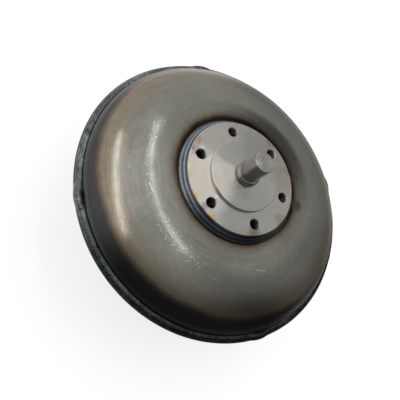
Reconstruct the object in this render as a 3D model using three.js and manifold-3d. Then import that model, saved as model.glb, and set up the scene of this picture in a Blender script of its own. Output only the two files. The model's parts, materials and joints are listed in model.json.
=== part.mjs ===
// Welded hydrodynamic torque converter of a forklift drive, engine side up.
// Lengths are in millimetres. The axis is +Z, and the origin is the centre of the pump hub's free end.
import * as THREE from 'three';
import { mergeVertices } from 'three/addons/utils/BufferGeometryUtils.js';
import Module from 'manifold-3d';

const wasm = await Module();
wasm.setup();

// Clearances
const seatGap = 0.3;
const runningGap = 0.15;
const overrun = 1;

// How finely round pieces are cut
const fullTurn = 360;
const shellSides = 36;
const innerSides = 24;
const smallSides = 12;
const rivetSides = 6;

// One-way clutch of the stator, from the inside out
const innerRaceRadius = 27;
const innerRaceSplineRadius = 19;
const innerRaceSplineTeeth = 16;
const splineToothDepth = 1.5;
const clutchRollerCount = 8;
const clutchRollerRadius = 4;
const clutchRollerPlay = 0.5;
const clutchLandGap = 2.6;
const clutchPocketMargin = 0.9;
const clutchPocketSteps = 3;
const clutchRampHeight = 1.1;
const clutchRaceWall = 5.6;
const clutchRaceWidth = 14.4;
const clutchPlateThickness = 2;
const clutchPlateOverlap = 3.4;
const clutchSpringSheet = 0.4;
const clutchSpringReach = 7;
const clutchSpringHalfHeight = 2;
const clutchSpringFolds = 4;
const clutchSpringWidth = 9;
const snapRingWidth = 2.7;
const snapRingThickness = 1.6;
const snapRingGapAngle = 16;
const snapRingGrooveDepth = 1.2;
const snapRingLipThickness = 1.1;

// Needle thrust bearings, one on each side of the stator
const bearingInset = 0.9;
const bearingWidth = 9.5;
const bearingRaceThickness = 1.2;
const needleRadius = 1.2;
const needleLength = 6;
const needleCount = 12;
const cageThickness = 1.4;

// Stator, the reaction wheel in the middle of the circuit
const statorHubWall = 2.7;
const statorLipWidth = 4.3;
const statorLipThickness = 1.6;
const statorShroudThickness = 2.5;
const statorShroudClearance = 2;
const vaneCount = 13;
const vaneThickness = 4.4;
const vaneChordLength = 18;
const vaneLean = 32;
const vaneNoseSteps = 2;

// The oil circuit: an oval ring of oil round the axis, split at the mid-plane
const circuitOuterRadius = 132.5;
const circuitHalfWidth = 33;
const midPlaneHeight = 93;
const outerFlowDepth = 13.5;
const innerFlowDepth = 28;
const sideFlowDepth = 18;

// Blades, rolled from sheet and brazed to the core ring
const bladeSheet = 1.2;
const bladeGap = 0.7;
const impellerBladeCount = 25;
const turbineBladeCount = 23;
const impellerTwist = 26;
const turbineTwist = -38;
const coreSheet = 1.2;
const flowStart = 8;
const flowEnd = 142;
const flowSteps = 3;
const wallSplitAngle = 5;

// Turbine, which drives the gearbox's input shaft
const turbineSheet = 2;
const turbineFlangeStep = 3;
const turbineHubFlangeThickness = 4.7;
const turbineHubRadius = 28;
const turbineSplineRadius = 13.5;
const turbineSplineTeeth = 16;
const rivetCount = 8;
const rivetRadius = 2.6;
const rivetHeadRadius = 4;
const rivetHeadHeight = 1.5;
const rivetClearance = 2;
const thrustWasherThickness = 2.7;
const thrustWasherInset = 0.5;

// Front cover, a stamped dome with a flat land round the drive flange
const coverSheet = 4;
const coverSideClearance = 4.5;
const coverTopClearance = 4;
const coverWallRise = 15;
const coverSkirtLength = 10;
const coverLandWidth = 10.2;
const coverDomeSteps = 6;

// Pump shell, stamped, with a socket for the cover's skirt and an out-turned rim
const pumpSheet = 3.5;
const rimWidth = 5.9;
const rimDrop = 0.5;

// Drive flange, turned from one forging with its spigot and pilot pin
const flangeRadius = 58;
const flangeProudHeight = 9;
const flangeEdgeChamfer = 0.7;
const flangeShoulderWidth = 5;
const flangeShoulderThickness = 4.5;
const flangeBackStep = 8;
const flangeHubThickness = 10;
const boltCount = 6;
const boltTapRadius = 4.25;
const boltMouthChamfer = 1.2;
const boltFloorThickness = 3.5;
const spigotRadius = 36;
const spigotHeight = 4;
const spigotChamfer = 0.5;
const collarWidth = 2.6;
const collarHeight = 7;
const collarChamfer = 1.4;
const pinRadius = 10;
const pinLength = 31;
const pinTipChamfer = 0.6;

// Pilot bush, pressed into the back of the drive flange
const bushBoreRadius = 10.5;
const bushWallThickness = 2.5;
const bushLength = 11;
const bushPocketClearance = 1;

// Pump hub, the sleeve that turns on the gearbox side and drives the oil pump
const hubBoreRadius = 20.5;
const hubWallThickness = 3.5;
const hubEndChamfer = 1;
const hubFlangeThickness = 16;
const hubRootFillet = 4;
const driveSlotWidth = 10;
const driveSlotDepth = 12;

// Weld beads
const flangeBeadWidth = 5.8;
const flangeBeadHeight = 6.2;
const closureBeadMargin = 0.6;
const closureBeadHeight = 3.4;
const closureLumpReach = 1.4;
const closureLumpHeight = 1.6;
const closureLumpHalfAngle = 5;
const closureLumpAngles = [90, 181, 270, 359];
const hubBeadWidth = 5;

// Clutch sizes that follow
const clutchLandRadius = innerRaceRadius + clutchLandGap;
const clutchRollerCircle = innerRaceRadius + clutchRollerRadius + runningGap;
const clutchRollerLength = clutchRaceWidth - 2 * clutchRollerPlay;
const clutchPocketShallowRadius = clutchRollerCircle + clutchRollerRadius + runningGap;
const clutchPocketDeepRadius = clutchPocketShallowRadius + clutchRampHeight;
const clutchRaceRadius = clutchPocketDeepRadius + clutchRaceWall;
const clutchPlateInnerRadius = innerRaceRadius - clutchPlateOverlap;
const clutchSpringStart = clutchRollerRadius + seatGap;
const clutchSpringEnd = clutchSpringStart + clutchSpringReach;
const statorBoreRadius = clutchRaceRadius + seatGap;
const snapRingInnerRadius = statorBoreRadius - snapRingWidth;
const snapRingGrooveWidth = snapRingThickness + 2 * runningGap;
const bearingInnerRadius = clutchPlateInnerRadius + bearingInset;
const bearingOuterRadius = bearingInnerRadius + bearingWidth;
const needleCircle = (bearingInnerRadius + bearingOuterRadius) / 2;
const bearingStack = 2 * bearingRaceThickness + 2 * needleRadius + 2 * runningGap;

// Circuit sizes that follow
const circuitInnerRadius = statorBoreRadius + statorHubWall;
const circuitCentre = (circuitOuterRadius + circuitInnerRadius) / 2;
const circuitHalfHeight = (circuitOuterRadius - circuitInnerRadius) / 2;
const coreOuterRadius = circuitOuterRadius - outerFlowDepth;
const coreInnerRadius = circuitInnerRadius + innerFlowDepth;
const coreCentre = (coreOuterRadius + coreInnerRadius) / 2;
const coreHalfHeight = (coreOuterRadius - coreInnerRadius) / 2;
const coreHalfWidth = circuitHalfWidth - sideFlowDepth;
const statorShroudOuterRadius = coreInnerRadius - statorShroudClearance;
const statorShroudInnerRadius = statorShroudOuterRadius - statorShroudThickness;
const statorLipRadius = statorBoreRadius - statorLipWidth;

// Heights that follow, outwards from the mid-plane
const clutchWidth = clutchRaceWidth + 2 * clutchPlateThickness;
const statorWidth = statorLipThickness + clutchWidth + snapRingGrooveWidth + snapRingLipThickness;
const statorBottom = midPlaneHeight - statorWidth / 2;
const statorTop = midPlaneHeight + statorWidth / 2;
const clutchRearPlateBottom = statorBottom + statorLipThickness;
const clutchRaceBottom = clutchRearPlateBottom + clutchPlateThickness;
const clutchRaceTop = clutchRaceBottom + clutchRaceWidth;
const clutchFrontPlateTop = clutchRaceTop + clutchPlateThickness;
const hubFlangeTop = clutchRearPlateBottom - bearingStack;
const hubFlangeBottom = hubFlangeTop - hubFlangeThickness;
const turbineHubBottom = clutchFrontPlateTop + bearingStack;
const turbineHubFlangeTop = turbineHubBottom + turbineHubFlangeThickness;
const coverWallTop = midPlaneHeight + coverWallRise;
const coverSkirtBottom = coverWallTop - coverSkirtLength;
const coverLandHeight = midPlaneHeight + circuitHalfWidth + turbineSheet + coverTopClearance + coverSheet;
const coverLandBottom = coverLandHeight - coverSheet;
const socketBottom = coverSkirtBottom - seatGap;
const rimFront = coverWallTop - rimDrop;
const flangeFace = coverLandHeight + flangeProudHeight;
const flangeShoulderBottom = coverLandBottom - flangeShoulderThickness;
const flangeBack = coverLandBottom - flangeHubThickness;
const boltBottom = flangeShoulderBottom + boltFloorThickness;
const spigotFace = flangeFace + spigotHeight;
const pinTip = spigotFace + pinLength;
const turbineHubTop = flangeBack - thrustWasherThickness - 2 * runningGap;

// Radii that follow
const coverWallRadius = circuitOuterRadius + turbineSheet + coverSideClearance + coverSheet;
const coverHoleRadius = flangeRadius + seatGap;
const coverLandRadius = coverHoleRadius + coverLandWidth;
const socketRadius = coverWallRadius + seatGap;
const rimRadius = socketRadius + rimWidth;
const closureBeadWidth = rimWidth - closureBeadMargin;
const flangeShoulderRadius = flangeRadius + flangeShoulderWidth;
const flangeBackRadius = flangeRadius - flangeBackStep;
const flangeHubRadius = flangeBackRadius - flangeBackStep;
const boltCircleRadius = (flangeRadius + spigotRadius) / 2;
const boltMouthRadius = boltTapRadius + boltMouthChamfer;
const collarRadius = pinRadius + collarWidth;
const bushOuterRadius = bushBoreRadius + bushWallThickness;
const bushPocketRadius = bushOuterRadius + seatGap;
const bushPocketDepth = bushLength + bushPocketClearance;
const hubOuterRadius = hubBoreRadius + hubWallThickness;
const turbineShellHoleRadius = turbineHubRadius + seatGap;
const rivetHoleRadius = rivetRadius + seatGap;
const rivetCircleRadius = bearingOuterRadius + rivetClearance + rivetHeadRadius;
const thrustWasherOuterRadius = turbineHubRadius - thrustWasherInset;
const thrustWasherInnerRadius = turbineSplineRadius + splineToothDepth + 2 * thrustWasherInset;

const degrees = (angle) => THREE.MathUtils.degToRad(angle);
const point = (radius, height) => new THREE.Vector2(radius, height);
const polar = (radius, turn) => point(radius * Math.cos(turn), radius * Math.sin(turn));

// Outlines, as radius and height

function ovalPoint(centre, halfHeight, halfWidth, angle, side) {
  const turn = degrees(angle);
  const radius = centre + halfHeight * Math.cos(turn);
  return point(radius, midPlaneHeight + side * halfWidth * Math.sin(turn));
}

// A point on the circuit's outer wall: side is 1 on the turbine's half and -1 on the pump's
const wallPoint = (angle, side) =>
  ovalPoint(circuitCentre, circuitHalfHeight, circuitHalfWidth, angle, side);

// A point on the core ring's wall
const corePoint = (angle, side) => ovalPoint(coreCentre, coreHalfHeight, coreHalfWidth, angle, side);

function steps(start, end, count) {
  return Array.from({ length: count + 1 }, (_, i) => start + ((end - start) * i) / count);
}

// The circuit's wall from near the mid-plane to past the blades, with corners where the blades have them
function wallPath(side) {
  const angles = [wallSplitAngle, ...steps(flowStart, flowEnd, 2 * flowSteps), flowEnd + wallSplitAngle];
  return angles.map((angle) => wallPoint(angle, side));
}

// Moves an open outline sideways, to the left of its direction, with mitred corners
function offsetPath(path, distance) {
  const normals = path.slice(1).map((to, i) => {
    const along = to.clone().sub(path[i]).normalize();
    return point(-along.y, along.x);
  });
  return path.map((corner, i) => {
    const before = normals[Math.max(i - 1, 0)];
    const after = normals[Math.min(i, normals.length - 1)];
    const middle = before.clone().add(after).normalize();
    return corner.clone().addScaledVector(middle, distance / middle.dot(after));
  });
}

// A sheet of even thickness, to the left of its path
const sheetOutline = (path, sheet) => [...path, ...offsetPath(path, sheet).reverse()];

// Two points just outside the pump shell, at its inner edge and further out
function pumpShellEnd() {
  const [out, edge] = offsetPath(wallPath(-1).slice(-2), pumpSheet + seatGap);
  const share = hubBeadWidth / out.distanceTo(edge);
  return { top: edge, low: edge.clone().lerp(out, share) };
}

const hubFlangeRadius = pumpShellEnd().top.x - 2 * seatGap;
const turbineHubFlangeRadius = wallPoint(flowEnd + wallSplitAngle, 1).x - turbineFlangeStep;

// Solids

// Merges shared corners, drops collapsed triangles and turns the faces outwards
function closedSolid(source) {
  const bare = source.clone();
  bare.deleteAttribute('normal');
  bare.deleteAttribute('uv');
  const merged = mergeVertices(bare);
  const corners = merged.index.array;
  const position = merged.attributes.position;
  const [a, b, c] = [new THREE.Vector3(), new THREE.Vector3(), new THREE.Vector3()];
  const kept = [];
  let volume = 0;
  for (let i = 0; i < corners.length; i += 3) {
    const [p, q, r] = corners.slice(i, i + 3);
    if (p === q || q === r || r === p) continue;
    kept.push([p, q, r]);
    a.fromBufferAttribute(position, p);
    b.fromBufferAttribute(position, q);
    c.fromBufferAttribute(position, r);
    volume += a.dot(b.cross(c));
  }
  merged.setIndex(kept.flatMap(([p, q, r]) => (volume > 0 ? [p, q, r] : [p, r, q])));
  merged.computeVertexNormals();
  return merged;
}

// Turns an outline round the axis
function revolve(outline, sides = innerSides) {
  const onAxis = outline[0].x === 0 && outline[outline.length - 1].x === 0;
  const loop = onAxis ? outline : [...outline, outline[0].clone()];
  return closedSolid(new THREE.LatheGeometry(loop, sides).rotateX(Math.PI / 2));
}

function plainRing(inner, outer, bottom, height, sides = innerSides) {
  const top = bottom + height;
  const outline = [point(inner, bottom), point(outer, bottom), point(outer, top), point(inner, top)];
  return revolve(outline, sides);
}

// A circle in XY with the same corners as a revolved piece
function circle(radius, sides = innerSides) {
  return steps(0, 2 * Math.PI, sides).slice(1).map((turn) => polar(radius, turn));
}

// A flat shape in XY, raised along Z
function prism(shape, bottom, height) {
  const options = { depth: height, bevelEnabled: false };
  return closedSolid(new THREE.ExtrudeGeometry(shape, options).translate(0, 0, bottom));
}

function box(width, depth, height) {
  return closedSolid(new THREE.BoxGeometry(width, depth, height));
}

// Copies of one geometry, turned evenly round the axis
function aroundAxis(geometry, count, start = 0) {
  return Array.from({ length: count }, (_, i) =>
    geometry.clone().rotateZ(degrees(start) + (2 * Math.PI * i) / count));
}

function toManifold(geometry) {
  const clean = closedSolid(geometry);
  const vertProperties = new Float32Array(clean.attributes.position.array);
  const triVerts = new Uint32Array(clean.index.array);
  return new wasm.Manifold(new wasm.Mesh({ numProp: 3, vertProperties, triVerts }));
}

function fromManifold(manifold) {
  const mesh = manifold.getMesh();
  const geometry = new THREE.BufferGeometry();
  geometry.setAttribute('position', new THREE.BufferAttribute(mesh.vertProperties, 3));
  geometry.setIndex(Array.from(mesh.triVerts));
  return closedSolid(geometry);
}

function cut(base, tools) {
  const result = tools.reduce((rest, tool) => rest.subtract(toManifold(tool)), toManifold(base));
  return fromManifold(result);
}

function join(pieces) {
  const [first, ...others] = pieces.map(toManifold);
  return fromManifold(others.reduce((whole, piece) => whole.add(piece), first));
}

// The toothed outline of a splined bore
function splineHole(minor, teeth) {
  const major = minor + splineToothDepth;
  const pitch = (2 * Math.PI) / teeth;
  const flankShares = [-0.3, -0.2, 0.2, 0.3];
  const corners = [];
  for (let tooth = 0; tooth < teeth; tooth += 1) {
    const radii = [minor, major, major, minor];
    radii.forEach((radius, i) => {
      corners.push(polar(radius, (tooth + flankShares[i]) * pitch));
    });
  }
  return corners;
}

// Housing: everything that turns with the engine

function frontCover() {
  const rise = coverLandHeight - coverWallTop;
  const reach = coverWallRadius - coverLandRadius;
  const dome = steps(0, 90, coverDomeSteps).map((angle) => {
    const turn = degrees(angle);
    return point(coverLandRadius + reach * Math.cos(turn), coverWallTop + rise * Math.sin(turn));
  });
  const path = [point(coverWallRadius, coverSkirtBottom), ...dome, point(coverHoleRadius, coverLandHeight)];
  return revolve(sheetOutline(path, coverSheet), shellSides);
}

function boltHole() {
  const outline = [
    point(0, boltBottom),
    point(boltTapRadius, boltBottom),
    point(boltTapRadius, flangeFace - boltMouthChamfer),
    point(boltMouthRadius, flangeFace),
    point(boltMouthRadius, flangeFace + overrun),
    point(0, flangeFace + overrun),
  ];
  return revolve(outline, smallSides).translate(boltCircleRadius, 0, 0);
}

function driveFlange() {
  const outline = [
    point(0, flangeBack + bushPocketDepth),
    point(bushPocketRadius, flangeBack + bushPocketDepth),
    point(bushPocketRadius, flangeBack),
    point(flangeHubRadius, flangeBack),
    point(flangeBackRadius, flangeShoulderBottom),
    point(flangeShoulderRadius, flangeShoulderBottom),
    point(flangeShoulderRadius, coverLandBottom),
    point(flangeRadius, coverLandBottom),
    point(flangeRadius, flangeFace - flangeEdgeChamfer),
    point(flangeRadius - flangeEdgeChamfer, flangeFace),
    point(spigotRadius, flangeFace),
    point(spigotRadius, spigotFace - spigotChamfer),
    point(spigotRadius - spigotChamfer, spigotFace),
    point(collarRadius, spigotFace),
    point(collarRadius, spigotFace + collarHeight - collarChamfer),
    point(collarRadius - collarChamfer, spigotFace + collarHeight),
    point(pinRadius, spigotFace + collarHeight),
    point(pinRadius, pinTip - pinTipChamfer),
    point(pinRadius - pinTipChamfer, pinTip),
    point(0, pinTip),
  ];
  return cut(revolve(outline, shellSides), aroundAxis(boltHole(), boltCount));
}

// A fillet between the land and the flange's side, with a slightly rounded face
function flangeWeld() {
  const outlineShares = [[0, 0], [1, 0], [0.86, 0.36], [0.6, 0.66], [0.3, 0.86], [0, 1]];
  const outline = outlineShares.map(([widthShare, heightShare]) =>
    point(coverHoleRadius + widthShare * flangeBeadWidth, coverLandHeight + heightShare * flangeBeadHeight));
  return revolve(outline, shellSides);
}

function pilotBush() {
  return plainRing(bushBoreRadius, bushOuterRadius, flangeBack, bushLength);
}

function pumpShell() {
  const path = [
    point(rimRadius, rimFront),
    point(socketRadius, rimFront),
    point(socketRadius, socketBottom),
    ...wallPath(-1),
  ];
  return revolve(sheetOutline(path, pumpSheet), shellSides);
}

// The bead's cross-section grows where one run of weld starts on the end of the last
function closureWeld() {
  const toe = socketRadius;
  const slices = 2 * shellSides;
  const outlineShares = [[0, 0], [1, 0], [0.82, 0.5], [0.48, 0.88], [0, 1]];
  const corners = [];
  for (let slice = 0; slice < slices; slice += 1) {
    const angle = (fullTurn * slice) / slices;
    const turn = degrees(angle);
    const lump = closureLump(angle);
    const foot = closureBeadWidth + lump * (rimRadius + closureLumpReach - toe - closureBeadWidth);
    const height = closureBeadHeight + lump * closureLumpHeight;
    for (const [footShare, heightShare] of outlineShares) {
      const radius = toe + footShare * foot;
      corners.push(radius * Math.cos(turn), radius * Math.sin(turn), rimFront + heightShare * height);
    }
  }
  return closedRing(corners, slices, outlineShares.length);
}

// From 0 on the plain bead to 1 at the top of a lump
function closureLump(angle) {
  const heights = closureLumpAngles.map((centre) => {
    const turned = THREE.MathUtils.euclideanModulo(angle - centre, fullTurn);
    const away = Math.min(turned, fullTurn - turned);
    return away < closureLumpHalfAngle ? Math.cos((Math.PI / 2) * (away / closureLumpHalfAngle)) : 0;
  });
  return Math.max(...heights);
}

// Joins equal cross-sections, listed slice by slice, into a ring
function closedRing(corners, slices, size) {
  const index = [];
  for (let slice = 0; slice < slices; slice += 1) {
    const here = slice * size;
    const next = ((slice + 1) % slices) * size;
    for (let i = 0; i < size; i += 1) {
      const j = (i + 1) % size;
      index.push(here + i, next + i, next + j, here + i, next + j, here + j);
    }
  }
  const geometry = new THREE.BufferGeometry();
  geometry.setAttribute('position', new THREE.Float32BufferAttribute(corners, 3));
  geometry.setIndex(index);
  return closedSolid(geometry);
}

function pumpHub() {
  const outline = [
    point(hubBoreRadius, 0),
    point(hubOuterRadius - hubEndChamfer, 0),
    point(hubOuterRadius, hubEndChamfer),
    point(hubOuterRadius, hubFlangeBottom - hubRootFillet),
    point(hubOuterRadius + hubRootFillet, hubFlangeBottom),
    point(hubFlangeRadius, hubFlangeBottom),
    point(hubFlangeRadius, hubFlangeTop),
    point(hubBoreRadius, hubFlangeTop),
  ];
  const slot = box(2 * (hubOuterRadius + overrun), driveSlotWidth, 2 * driveSlotDepth);
  return cut(revolve(outline), [slot]);
}

function hubWeld() {
  const end = pumpShellEnd();
  const outline = [
    point(hubFlangeRadius + seatGap, end.top.y),
    point(hubFlangeRadius + seatGap, end.low.y - hubBeadWidth / 2),
    point(end.low.x, end.low.y),
    point(end.top.x, end.top.y),
  ];
  return revolve(outline);
}

// Blade rings: curved sheet blades brazed to a core ring

function bladeSurface(flowAngles, side, twist, shift) {
  const corners = [];
  flowAngles.forEach((angle, i) => {
    const flowShare = i / (flowAngles.length - 1);
    const outer = wallPoint(angle, side);
    const core = corePoint(angle, side);
    const span = outer.clone().sub(core).normalize();
    const ends = [
      outer.clone().addScaledVector(span, -bladeGap),
      core.clone().addScaledVector(span, -coreSheet),
    ];
    for (const end of ends) {
      const turn = degrees(twist * flowShare * flowShare) + shift / end.x;
      corners.push(end.x * Math.cos(turn), end.x * Math.sin(turn), end.y);
    }
  });
  return corners;
}

// One curved sheet blade: two faces, each with a row of corners at the shell and one at the core
function blade(side, twist) {
  const flowAngles = steps(flowStart, flowEnd, flowSteps);
  const face = bladeSurface(flowAngles, side, twist, bladeSheet / 2);
  const back = bladeSurface(flowAngles, side, twist, -bladeSheet / 2);
  const count = 2 * flowAngles.length;
  const index = [];
  const quad = (a, b, c, d) => index.push(a, b, c, a, c, d);
  for (let i = 0; i + 2 < count; i += 2) {
    quad(i, i + 1, i + 3, i + 2);
    quad(count + i, count + i + 2, count + i + 3, count + i + 1);
    quad(i, i + 2, count + i + 2, count + i);
    quad(i + 1, count + i + 1, count + i + 3, i + 3);
  }
  quad(0, count, count + 1, 1);
  quad(count - 2, count - 1, 2 * count - 1, 2 * count - 2);
  const geometry = new THREE.BufferGeometry();
  geometry.setAttribute('position', new THREE.Float32BufferAttribute([...face, ...back], 3));
  geometry.setIndex(index);
  return closedSolid(geometry);
}

// The core ring is cut into as many sides as it has blades
function bladeRing(side, twist, count) {
  const path = steps(flowStart, flowEnd, flowSteps).map((angle) => corePoint(angle, side));
  const coreRing = revolve(sheetOutline(path, side * coreSheet), count);
  return join([coreRing, ...aroundAxis(blade(side, twist), count)]);
}

// Turbine

function turbineShell() {
  const flangeBottom = turbineHubFlangeTop + seatGap;
  const flange = [point(turbineHubFlangeRadius, flangeBottom), point(turbineShellHoleRadius, flangeBottom)];
  const shell = revolve(sheetOutline([...wallPath(1), ...flange], -turbineSheet), shellSides);
  return cut(shell, rivetHoles());
}

function rivetHoles() {
  const bottom = turbineHubBottom - overrun;
  const height = turbineHubFlangeThickness + turbineSheet + 2 * overrun + seatGap;
  const hole = new THREE.CylinderGeometry(rivetHoleRadius, rivetHoleRadius, height, rivetSides);
  hole.rotateX(Math.PI / 2).translate(rivetCircleRadius, 0, bottom + height / 2);
  return aroundAxis(hole, rivetCount);
}

function turbineHub() {
  const outline = [
    point(turbineSplineRadius - overrun, turbineHubBottom),
    point(turbineHubFlangeRadius, turbineHubBottom),
    point(turbineHubFlangeRadius, turbineHubFlangeTop),
    point(turbineHubRadius, turbineHubFlangeTop),
    point(turbineHubRadius, turbineHubTop),
    point(turbineSplineRadius - overrun, turbineHubTop),
  ];
  const teeth = new THREE.Shape(splineHole(turbineSplineRadius, turbineSplineTeeth));
  const height = turbineHubTop - turbineHubBottom + 2 * overrun;
  return cut(revolve(outline), [prism(teeth, turbineHubBottom - overrun, height), ...rivetHoles()]);
}

function turbineRivet(number) {
  const headBottom = turbineHubBottom - runningGap;
  const headTop = turbineHubFlangeTop + seatGap + turbineSheet + runningGap;
  const outline = [
    point(0, headBottom - rivetHeadHeight),
    point(rivetHeadRadius, headBottom - rivetHeadHeight),
    point(rivetHeadRadius, headBottom),
    point(rivetRadius, headBottom),
    point(rivetRadius, headTop),
    point(rivetHeadRadius, headTop),
    point(rivetHeadRadius, headTop + rivetHeadHeight),
    point(0, headTop + rivetHeadHeight),
  ];
  const rivet = revolve(outline, rivetSides).translate(rivetCircleRadius, 0, 0);
  return rivet.rotateZ((2 * Math.PI * number) / rivetCount);
}

function frontThrustWasher() {
  const bottom = turbineHubTop + runningGap;
  const height = flangeBack - turbineHubTop - 2 * runningGap;
  return plainRing(thrustWasherInnerRadius, thrustWasherOuterRadius, bottom, height);
}

// Stator and its one-way clutch

function statorVane() {
  const half = vaneThickness / 2;
  const nose = vaneChordLength / 2;
  const shape = new THREE.Shape();
  shape.moveTo(-nose, 0);
  shape.quadraticCurveTo(-nose, half, 0, half);
  shape.lineTo(nose, 0);
  shape.lineTo(0, -half);
  shape.quadraticCurveTo(-nose, -half, -nose, 0);
  const length = statorShroudInnerRadius - circuitInnerRadius + 2 * overrun;
  const options = { depth: length, bevelEnabled: false, curveSegments: vaneNoseSteps };
  const vane = new THREE.ExtrudeGeometry(shape, options);
  vane.rotateZ(degrees(vaneLean)).rotateY(Math.PI / 2);
  return vane.translate(circuitInnerRadius - overrun, 0, midPlaneHeight);
}

function statorWheel() {
  const grooveBottom = clutchFrontPlateTop;
  const grooveTop = grooveBottom + snapRingGrooveWidth;
  const grooveRadius = statorBoreRadius + snapRingGrooveDepth;
  const hubOutline = [
    point(statorLipRadius, statorBottom),
    point(circuitInnerRadius, statorBottom),
    point(circuitInnerRadius, statorTop),
    point(statorBoreRadius, statorTop),
    point(statorBoreRadius, grooveTop),
    point(grooveRadius, grooveTop),
    point(grooveRadius, grooveBottom),
    point(statorBoreRadius, grooveBottom),
    point(statorBoreRadius, clutchRearPlateBottom),
    point(statorLipRadius, clutchRearPlateBottom),
  ];
  const shroud = plainRing(statorShroudInnerRadius, statorShroudOuterRadius, statorBottom, statorWidth);
  return join([revolve(hubOutline), shroud, ...aroundAxis(statorVane(), vaneCount)]);
}

// The angle of a point on the clutch's land, that far to one side of a roller's middle
const landAngle = (side) => THREE.MathUtils.radToDeg(Math.asin(side / clutchLandRadius));

function clutchOuterRace() {
  const pitch = fullTurn / clutchRollerCount;
  const pocketStart = -landAngle(clutchRollerRadius + clutchPocketMargin);
  const pocketEnd = landAngle(clutchSpringEnd + clutchPocketMargin);
  const corners = [];
  const add = (radius, angle) => corners.push(polar(radius, degrees(angle)));
  for (let pocket = 0; pocket < clutchRollerCount; pocket += 1) {
    const start = pocket * pitch;
    add(clutchLandRadius, start + pocketStart);
    steps(pocketStart, pocketEnd, clutchPocketSteps).forEach((angle, i) => {
      const rampShare = i / clutchPocketSteps;
      add(clutchPocketShallowRadius + rampShare * clutchRampHeight, start + angle);
    });
    add(clutchLandRadius, start + pocketEnd);
  }
  const race = new THREE.Shape(circle(clutchRaceRadius));
  race.holes.push(new THREE.Path(corners));
  return prism(race, clutchRaceBottom, clutchRaceWidth);
}

function clutchRoller(number) {
  const bottom = (clutchRaceBottom + clutchRaceTop - clutchRollerLength) / 2;
  const roller = prism(new THREE.Shape(circle(clutchRollerRadius, smallSides)), bottom, clutchRollerLength);
  return roller.translate(clutchRollerCircle, 0, 0).rotateZ((2 * Math.PI * number) / clutchRollerCount);
}

// A leaf spring, folded to and fro, between a roller and the land behind it
function clutchSpring(number) {
  const line = steps(0, clutchSpringReach, clutchSpringFolds).map((along, i) =>
    point((i % 2 ? 1 : -1) * clutchSpringHalfHeight, clutchSpringStart + along));
  const shape = new THREE.Shape(sheetOutline(line, clutchSpringSheet));
  const bottom = (clutchRaceBottom + clutchRaceTop - clutchSpringWidth) / 2;
  const spring = prism(shape, bottom, clutchSpringWidth).translate(clutchRollerCircle, 0, 0);
  return spring.rotateZ((2 * Math.PI * number) / clutchRollerCount);
}

function clutchInnerRace() {
  const race = new THREE.Shape(circle(innerRaceRadius));
  const bore = splineHole(innerRaceSplineRadius, innerRaceSplineTeeth);
  race.holes.push(new THREE.Path(bore));
  return prism(race, clutchRaceBottom + runningGap, clutchRaceWidth - 2 * runningGap);
}

function clutchPlate(bottom) {
  return plainRing(clutchPlateInnerRadius, clutchRaceRadius, bottom, clutchPlateThickness);
}

function clutchSnapRing() {
  const outer = statorBoreRadius + snapRingGrooveDepth / 2;
  const half = snapRingGapAngle / 2;
  const turns = steps(half, fullTurn - half, innerSides).map(degrees);
  const arc = (radius) => turns.map((turn) => polar(radius, turn));
  const shape = new THREE.Shape([...arc(outer), ...arc(snapRingInnerRadius).reverse()]);
  return prism(shape, clutchFrontPlateTop + runningGap, snapRingThickness);
}

// Needle thrust bearings: a race, the needles in their cage, and a second race

function bearingRace(bottom) {
  return plainRing(bearingInnerRadius, bearingOuterRadius, bottom, bearingRaceThickness);
}

// The needles and their cage come as one unit
function needleCage(stackBottom) {
  const middle = stackBottom + bearingStack / 2;
  const cage = plainRing(bearingInnerRadius, bearingOuterRadius, middle - cageThickness / 2, cageThickness);
  const needle = new THREE.CylinderGeometry(needleRadius, needleRadius, needleLength, smallSides / 2);
  needle.rotateZ(Math.PI / 2).translate(needleCircle, 0, middle);
  return join([cage, ...aroundAxis(needle, needleCount)]);
}

// Finishes, and one named mesh for each piece

function finish(color, metalness, roughness) {
  return () => new THREE.MeshStandardMaterial({ color, metalness, roughness });
}

const stampedSteel = finish(0x96928a, 0.9, 0.42);
const turnedSteel = finish(0xc4c0b6, 0.95, 0.3);
const weldedSteel = finish(0x54585c, 0.8, 0.5);
const hardSteel = finish(0xa9a9aa, 0.9, 0.3);
const castAluminium = finish(0xa8aaac, 0.7, 0.55);
const springSteel = finish(0x6d7684, 0.8, 0.35);
const bronze = finish(0xb08d57, 0.8, 0.4);

function piece(name, geometry, material) {
  const mesh = new THREE.Mesh(geometry, material());
  mesh.name = name;
  return mesh;
}

function assemble(...children) {
  const group = new THREE.Group();
  group.add(...children);
  return group;
}

// Like pieces, numbered from 1
function numbered(name, count, shape, material) {
  return Array.from({ length: count }, (_, i) => piece(`${name}_${i + 1}`, shape(i), material));
}

const housing = assemble(
  piece('front_cover', frontCover(), stampedSteel),
  piece('drive_flange', driveFlange(), turnedSteel),
  piece('flange_weld', flangeWeld(), weldedSteel),
  piece('pilot_bush', pilotBush(), bronze),
  piece('pump_shell', pumpShell(), stampedSteel),
  piece('closure_weld', closureWeld(), weldedSteel),
  piece('impeller_blade_ring', bladeRing(-1, impellerTwist, impellerBladeCount), stampedSteel),
  piece('pump_hub', pumpHub(), turnedSteel),
  piece('hub_weld', hubWeld(), weldedSteel),
  piece('rear_bearing_pump_race', bearingRace(hubFlangeTop), hardSteel),
);

const turbine = assemble(
  piece('turbine_shell', turbineShell(), stampedSteel),
  piece('turbine_blade_ring', bladeRing(1, turbineTwist, turbineBladeCount), stampedSteel),
  piece('turbine_hub', turbineHub(), turnedSteel),
  ...numbered('turbine_rivet', rivetCount, turbineRivet, hardSteel),
  piece('front_thrust_washer', frontThrustWasher(), bronze),
  piece('middle_bearing_turbine_race', bearingRace(turbineHubBottom - bearingRaceThickness), hardSteel),
);

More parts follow.
